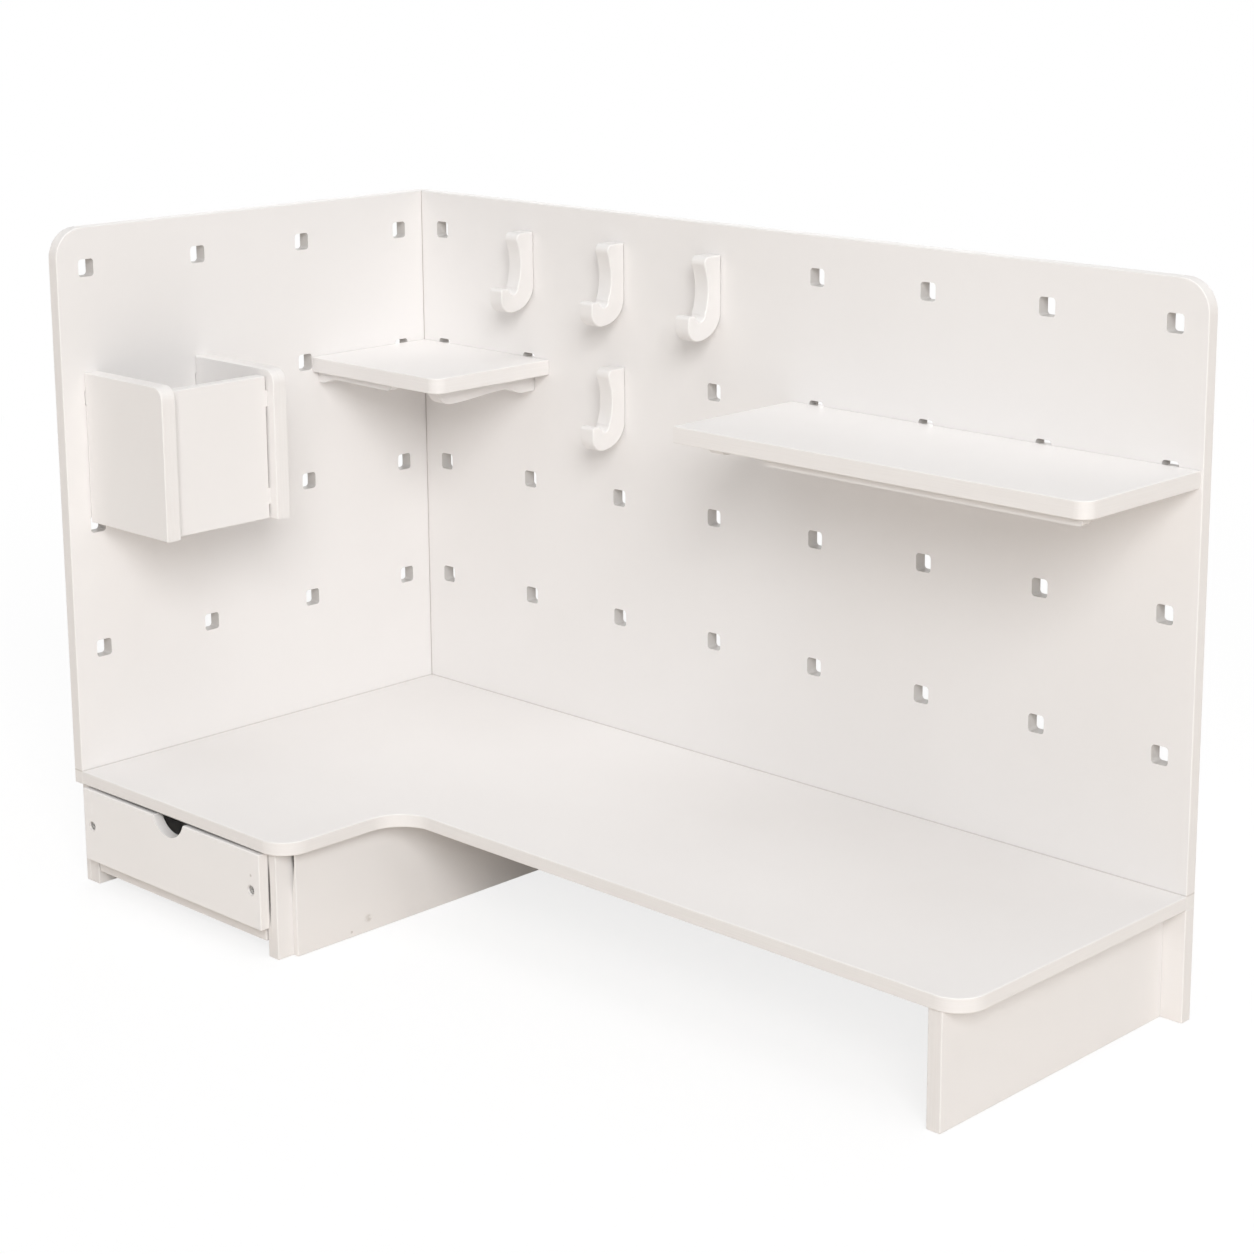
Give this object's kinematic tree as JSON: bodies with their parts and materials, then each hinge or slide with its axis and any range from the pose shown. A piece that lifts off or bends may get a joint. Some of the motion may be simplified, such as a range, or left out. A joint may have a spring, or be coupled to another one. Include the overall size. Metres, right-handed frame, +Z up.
{
  "type": "corner pegboard shelf",
  "caption": "Corner desk organiser: L-shaped raised worktop with a drawer under one arm, two pegboards that meet in a corner, and plug-in shelves, pen box and hooks.",
  "frame": {"origin": "on the floor, in the middle of the footprint", "axes": "+X along the long pegboard to its free end, +Y towards the long pegboard at the back, +Z up"},
  "size_m": [0.76, 0.362, 0.5],
  "materials": {
    "white_board": "satin",
    "hook_plastic": "gloss",
    "screw_steel": "satin",
    "dowel_wood": "matte"
  },
  "bodies": {
    "stand": {"worktop_board": "white_board", "back_pegboard": "white_board", "left_pegboard": "white_board", "back_lower_panel": "white_board", "left_lower_panel": "white_board", "inner_leg_panel": "white_board", "right_leg_panel": "white_board", "drawer_left_leg": "white_board", "drawer_right_leg": "white_board", "drawer_left_runner": "white_board", "drawer_right_runner": "white_board", "worktop_back_screws": "screw_steel", "worktop_left_screws": "screw_steel", "corner_screws": "screw_steel", "leg_screws": "screw_steel", "runner_screws": "screw_steel", "leg_dowels": "dowel_wood", "panel_dowels": "dowel_wood"},
    "drawer": {"drawer_front": "white_board", "drawer_floor": "white_board", "drawer_left_side": "white_board", "drawer_right_side": "white_board", "drawer_back": "white_board", "drawer_front_screws": "screw_steel", "drawer_floor_screws": "screw_steel"},
    "pen_box": {"pen_box_near_side": "white_board", "pen_box_far_side": "white_board", "pen_box_front": "white_board", "pen_box_floor": "white_board"},
    "corner_shelf": {"corner_shelf_board": "white_board", "corner_shelf_bracket": "white_board", "corner_shelf_rail": "white_board"},
    "long_shelf": {"long_shelf_board": "white_board", "long_shelf_brackets": "white_board", "long_shelf_rail": "white_board"},
    "hook_1": {"hook_1": "hook_plastic"},
    "hook_2": {"hook_2": "hook_plastic"},
    "hook_3": {"hook_3": "hook_plastic"},
    "hook_4": {"hook_4": "hook_plastic"}
  },
  "joints": [
    {"name": "drawer_slide", "type": "slide", "parent": "stand", "child": "drawer", "axis": [0, -1, 0], "range_m": [0, 0.2]},
    {"name": "pen_box_pull", "type": "slide", "parent": "stand", "child": "pen_box", "axis": [1, 0, 0], "range_m": [0, 0.015]},
    {"name": "corner_shelf_pull", "type": "slide", "parent": "stand", "child": "corner_shelf", "axis": [0, -1, 0], "range_m": [0, 0.015]},
    {"name": "long_shelf_pull", "type": "slide", "parent": "stand", "child": "long_shelf", "axis": [0, -1, 0], "range_m": [0, 0.015]},
    {"name": "hook_1_pull", "type": "slide", "parent": "stand", "child": "hook_1", "axis": [0, -1, 0], "range_m": [0, 0.015]},
    {"name": "hook_2_pull", "type": "slide", "parent": "stand", "child": "hook_2", "axis": [0, -1, 0], "range_m": [0, 0.015]},
    {"name": "hook_3_pull", "type": "slide", "parent": "stand", "child": "hook_3", "axis": [0, -1, 0], "range_m": [0, 0.015]},
    {"name": "hook_4_pull", "type": "slide", "parent": "stand", "child": "hook_4", "axis": [0, -1, 0], "range_m": [0, 0.015]}
  ]
}
